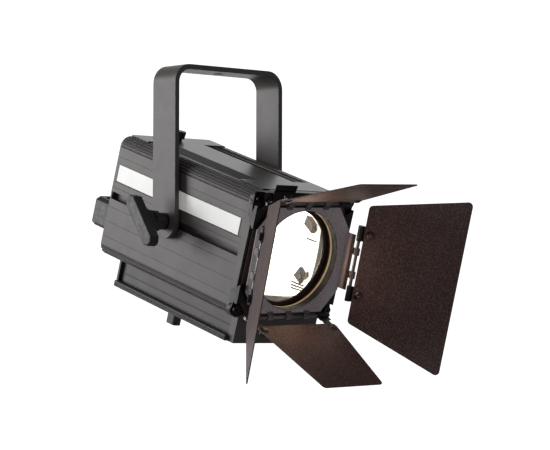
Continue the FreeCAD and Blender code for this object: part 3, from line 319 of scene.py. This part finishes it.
FINISHES = {
    "body_paint": paint("body_paint", (0.106, 0.094, 0.093), (0.24, 0.225, 0.225), **FINE_POWDER),
    "tray_paint": paint("tray_paint", (0.058, 0.050, 0.050), (0.16, 0.15, 0.15), **FINE_POWDER),
    "cover_paint": paint("cover_paint", (0.034, 0.030, 0.030), (0.09, 0.085, 0.085), speck_share=0.04,
                         grain=2.5 * MM, height=0.003 * MM, roughness=0.33, level=0.42, mottle=0.03),
    "inner_black": paint("inner_black", (0.075, 0.048, 0.036), (0.07, 0.06, 0.05), roughness=0.5, level=0.4),
    "clip_black": paint("clip_black", (0.010, 0.008, 0.008), (0.04, 0.04, 0.04), speck_share=0.05,
                        height=0.012 * MM, roughness=0.40, level=0.30),
    "leaf_paint": paint("leaf_paint", (0.078, 0.053, 0.052), (0.28, 0.20, 0.20), speck_share=0.6,
                        speck_size=WRINKLE_SIZE, speck_cover=(0.44, 0.66), grain=1.0 * MM,
                        height=0.06 * MM, roughness=0.57, level=0.3),
    "carrier_paint": carrier_paint("carrier_paint", (0.60, 0.53, 0.56), (0.98, 0.90, 0.97)),
    "knuckle_paint": paint("knuckle_paint", (0.15, 0.13, 0.14), (0.45, 0.40, 0.44), speck_share=0.5,
                           speck_size=WRINKLE_SIZE, speck_cover=(0.46, 0.68), grain=0.9 * MM, roughness=0.48),
    "rod_steel": metal("rod_steel", (0.30, 0.28, 0.30), roughness=0.42),
    "hinge_steel": metal("hinge_steel", (0.075, 0.07, 0.075), roughness=0.4),
    "dark_screws": metal("dark_screws", (0.055, 0.05, 0.05), roughness=0.36),
    "label_silver": label_sheet("label_silver"),
    "knob_plastic": plastic("knob_plastic", (0.045, 0.042, 0.042), roughness=0.45, level=0.35,
                            speck=(0.16, 0.16, 0.16)),
    "zinc_steel": metal("zinc_steel", (0.55, 0.55, 0.56), roughness=0.28),
    "spacer_nylon": plastic("spacer_nylon", (0.03, 0.03, 0.03), roughness=0.5),
    "lens_glass": optic_glass("lens_glass", 1.47, (0.97, 0.99, 0.98)),
    "bright_aluminium": lit_sheet("bright_aluminium", (0.92, 0.91, 0.88), (1.0, 0.95, 0.86), 1.5, 0.5),
    "mirror_aluminium": lit_sheet("mirror_aluminium", (0.95, 0.94, 0.92), (1.0, 0.97, 0.90), 2.5, 0.12,
                                  dents=0.05 * MM),
    "ceramic": glazed("ceramic", (0.80, 0.74, 0.64)),
    "quartz": optic_glass("quartz", 1.46, (0.99, 0.99, 0.98)),
    "filament": glowing_coil("filament"),
    "terminal_plastic": plastic("terminal_plastic", (0.80, 0.78, 0.70), roughness=0.35),
}


def dress_nodes():
    for part in frame["record"]["subparts"]:
        mesh = NODES[part["node"]].data
        mesh.materials.clear()
        mesh.materials.append(FINISHES[part["material_slot"]])


# ---------- pieces seen through the lens ----------

WALL_BEVEL = 0.2 * MM
LOUVRE_LEVEL, LOUVRE_PITCH, LOUVRE_SLOPE = -42.6, 2.6, 7.5
SWITCH_TURN = 32
STAY_TURN = 15


def fitting(name, centre, spans, material, edge=0.4 * MM, turn=0):
    """A small block with rounded edges riding the lamp house.

    Its centre and spans are in the lamp house's frame in millimetres, its turn about X in degrees.
    """
    bpy.ops.mesh.primitive_cube_add(size=1)
    block = bpy.context.object
    block.name = name
    block.data.transform(Matrix.Diagonal((*[span * MM for span in spans], 1)))
    place = HOUSE @ Matrix.Translation(Vector(centre) * MM)
    block.matrix_world = place @ Matrix.Rotation(math.radians(turn), 4, "X")
    bevel = block.modifiers.new("rounded", "BEVEL")
    bevel.width, bevel.segments = edge, 2
    block.data.materials.append(material)
    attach(block, "lamp_house")


def interior():
    """What shows through the lens on the far wall: dark bars painted as the louvre slots' shadows, a thermal
    switch, a seam and a stay.
    """
    dark = plastic("switch_dark", (0.012, 0.008, 0.006), roughness=0.5)
    brown = plastic("stay_brown", (0.11, 0.062, 0.034), roughness=0.5)
    # painted shadow: dark bars on the far wall where the louvre slots show
    for step in range(3):
        centre = (54.3, -81.5, LOUVRE_LEVEL + LOUVRE_PITCH * step)
        fitting(f"louvre_shadow_{step}", centre, (1.2, 19, 1.4), dark, WALL_BEVEL, LOUVRE_SLOPE)
    fitting("thermal_switch", (53.2, -83.5, -29), (3.2, 12, 11), dark, turn=SWITCH_TURN)
    fitting("switch_cap", (51.2, -84.5, -30), (1.2, 5, 5), brown, turn=SWITCH_TURN)
    fitting("switch_bracket", (53.6, -92, -28), (2.4, 7, 6), brown, turn=-30)
    fitting("wall_seam", (54.2, -90, 6), (1.4, 17, 1.3), dark, WALL_BEVEL, -11)
    fitting("mirror_stay", (52, -89, 20), (5.5, 11, 10), brown, turn=STAY_TURN)
    fitting("stay_foot", (54, -90, 20), (1.6, 12, 4), dark, turn=STAY_TURN)


# ---------- screw heads on the leaves ----------

LEAF_SIDES = ("top", "bottom", "left", "right")
SAME_PLACE = 0.001 * MM
# radius and height in millimetres, from the sunk centre over the dome and out across the washer
HEAD_PROFILE = [(0, 1.2), (1.1, 2.0), (2.4, 2.1), (3.5, 1.6), (3.9, 0.7), (5.2, 0.7), (5.3, 0.0)]
HEAD_STEPS = 32
RECESS_REACH, RECESS_SINK = 1.5, 0.5


def islands(mesh):
    """The separate solids of one mesh, as lists of vertex places.

    Vertices in the same place count as joined, because sharp edges are imported with doubled vertices.
    """
    keys = [tuple(round(number / SAME_PLACE) for number in vertex.co) for vertex in mesh.vertices]
    home = {key: key for key in keys}

    def root(key):
        while home[key] != key:
            home[key] = home[home[key]]
            key = home[key]
        return key

    for edge in mesh.edges:
        first, second = (root(keys[index]) for index in edge.vertices)
        home[first] = second
    groups = {}
    for key, vertex in zip(keys, mesh.vertices):
        groups.setdefault(root(key), []).append(vertex.co.copy())
    return list(groups.values())


def turned_head(name, material):
    """A domed head on a washer, with four notches sunk round its recess and its seat at the origin."""
    points, faces = [], []
    for radius, height in HEAD_PROFILE:
        for step in range(HEAD_STEPS):
            angle = 2 * math.pi * step / HEAD_STEPS
            notched = 0 < radius < RECESS_REACH and step % (HEAD_STEPS // 4) == 0
            level = height - RECESS_SINK if notched else height
            points.append((radius * MM * math.cos(angle), radius * MM * math.sin(angle), level * MM))
    for ring in range(len(HEAD_PROFILE) - 1):
        inner, outer = ring * HEAD_STEPS, (ring + 1) * HEAD_STEPS
        for step in range(HEAD_STEPS):
            after = (step + 1) % HEAD_STEPS
            faces.append((inner + step, outer + step, outer + after, inner + after))
    mesh = bpy.data.meshes.new(name)
    mesh.from_pydata(points, [], faces)
    mesh.polygons.foreach_set("use_smooth", [True] * len(faces))
    mesh.materials.append(material)
    return mesh


def inner_face(mesh):
    """A leaf's normal towards the beam, and how far its inner face is along that normal."""
    normal = max(mesh.polygons, key=lambda polygon: polygon.area).normal.copy()
    centre = sum((vertex.co for vertex in mesh.vertices), Vector()) / len(mesh.vertices)
    if (GLOW_CENTRE - centre).dot(normal) < 0:
        normal.negate()
    return normal, max(vertex.co.dot(normal) for vertex in mesh.vertices)


def screw_faces():
    """The screws that hold each leaf's clips show a broad head on the leaf's inner side."""
    material = metal("screw_face", (0.20, 0.18, 0.18), roughness=0.3, dark=0.3)
    for side in LEAF_SIDES:
        leaf = f"leaf_{side}"
        normal, face_level = inner_face(NODES[leaf].data)
        for index, places in enumerate(islands(NODES[leaf + "_screws"].data)):
            name = f"screw_face_{side}_{index}"
            middle = sum(places, Vector()) / len(places)
            head = bpy.data.objects.new(name, turned_head(name, material))
            bpy.context.scene.collection.objects.link(head)
            head.rotation_mode = "QUATERNION"
            head.rotation_quaternion = normal.to_track_quat("Z", "Y")
            head.location = middle + normal * (face_level - middle.dot(normal))
            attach(head, leaf)


# ---------- light, floor and camera ----------

GLOW_CENTRE = HOUSE @ Vector((0, -147.5 * MM, LENS_AXIS_HEIGHT))
GLOW_DIAMETER = 112 * MM
GLOW_POWER = 0.060
GLOW_COLOUR = (1.0, 0.60, 0.40)
BEAM = (HOUSE.to_3x3() @ Vector((0, -1, 0))).normalized()
FLOOR_LEVEL = -1.1
# the backdrop stays well inside a clipping distance of about 30 m
BACKDROP_RADIUS = 20
FLOOR_SIZE = 2.2 * BACKDROP_RADIUS
WORLD_STRENGTH = 0.18


def area_light(name, data, place, towards):
    """Puts an area light in the scene, aimed at a point and hidden from the camera."""
    light = bpy.data.objects.new(name, data)
    light.visible_camera = False
    bpy.context.scene.collection.objects.link(light)
    light.location = place
    light.rotation_mode = "QUATERNION"
    light.rotation_quaternion = (Vector(towards) - Vector(place)).to_track_quat("-Z", "Y")
    return light


def soft_box(name, place, size, radiance):
    """A rectangular white light of a given brightness, aimed at the spotlight."""
    data = bpy.data.lights.new(name, "AREA")
    data.shape = "RECTANGLE"
    data.size, data.size_y = size
    data.energy = radiance * math.pi * size[0] * size[1]
    area_light(name, data, place, TILT_AXIS)


def lamp_glow():
    """The beam as it leaves the lens, so the leaves and rims take warm light."""
    data = bpy.data.lights.new("lamp_glow", "AREA")
    data.shape = "DISK"
    data.size = GLOW_DIAMETER
    data.energy = GLOW_POWER
    data.color = GLOW_COLOUR
    light = area_light("lamp_glow", data, GLOW_CENTRE, GLOW_CENTRE + BEAM)
    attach(light, "lamp_house")


def pale_floor():
    bpy.ops.mesh.primitive_plane_add(size=FLOOR_SIZE, location=(0, 0, FLOOR_LEVEL))
    floor = bpy.context.object
    floor.name = "floor"
    g = Graph("pale_floor")
    colour = g.mix(g.noise(0.8, 3), rgb(0.93, 0.93, 0.92), rgb(0.97, 0.97, 0.96))
    floor.data.materials.append(g.finish(
        Base_Color=colour, Roughness=0.7, Emission_Color=rgb(1, 1, 1), Emission_Strength=1.0,
        Normal=g.bump(g.noise(90, 3), 0.2 * MM, 0.3)))
    return floor


def white_backdrop():
    bpy.ops.mesh.primitive_uv_sphere_add(radius=BACKDROP_RADIUS, segments=48, ring_count=24,
                                         location=(0, 0, FLOOR_LEVEL))
    dome = bpy.context.object
    dome.name = "backdrop"
    g = Graph("backdrop_white")
    dome.data.materials.append(g.finish(
        Base_Color=rgb(1, 1, 1), Roughness=1.0, Emission_Strength=1.0,
        Emission_Color=g.mix(g.noise(0.05), rgb(1, 1, 1), rgb(0.99, 0.99, 0.99))))
    return dome


def studio():
    """White surroundings that show directly or through glass but light nothing, and the studio lights."""
    scene = bpy.context.scene
    scene.view_settings.view_transform = "Standard"
    world = bpy.data.worlds.new("studio")
    scene.world = world
    world.use_nodes = True
    background = world.node_tree.nodes["Background"]
    background.inputs["Color"].default_value = rgb(1.0, 0.995, 0.99)
    background.inputs["Strength"].default_value = WORLD_STRENGTH
    soft_box("key_left", (-1.5, 1.8, 0.3), (1.3, 1.4), 7.3)
    soft_box("back_wall", (2.0, 2.1, 0.9), (3.4, 2.6), 1.0)
    soft_box("back_low", (1.9, 2.0, -0.75), (3.2, 1.0), 1.2)
    floor, dome = pale_floor(), white_backdrop()
    for screen in (floor, dome):
        screen.visible_diffuse = False
        screen.visible_glossy = False
        screen.visible_shadow = False
        screen.visible_volume_scatter = False


AZIMUTH, ELEVATION, ROLL = map(math.radians, (-42.11, -2.29, 0.15))
DISTANCE, SIDE_SHIFT, LIFT = 3.0195, 0.0667, -0.0018
FOCAL_LENGTH, SENSOR_WIDTH = 168.33, 36.0
CLIP_NEAR, CLIP_FAR = 0.05, 100


def set_camera():
    """A long lens at the front left, a little below the lamp house and looking slightly up at it."""
    data = bpy.data.cameras.new("camera")
    data.lens, data.sensor_width = FOCAL_LENGTH, SENSOR_WIDTH
    data.clip_start, data.clip_end = CLIP_NEAR, CLIP_FAR
    camera = bpy.data.objects.new("camera", data)
    scene = bpy.context.scene
    scene.collection.objects.link(camera)
    scene.camera = camera
    back = Vector((math.sin(AZIMUTH) * math.cos(ELEVATION), -math.cos(AZIMUTH) * math.cos(ELEVATION),
                   math.sin(ELEVATION)))
    right = (-back).cross(Vector((0, 0, 1))).normalized()
    up = right.cross(-back)
    camera.rotation_mode = "QUATERNION"
    turned = Matrix((right, up, back)).transposed() @ Matrix.Rotation(ROLL, 3, "Z")
    camera.rotation_quaternion = turned.to_quaternion()
    camera.location = TILT_AXIS + right * SIDE_SHIFT + up * LIFT + back * DISTANCE


dress_nodes()
lamp_glow()
interior()
screw_faces()
studio()
set_camera()
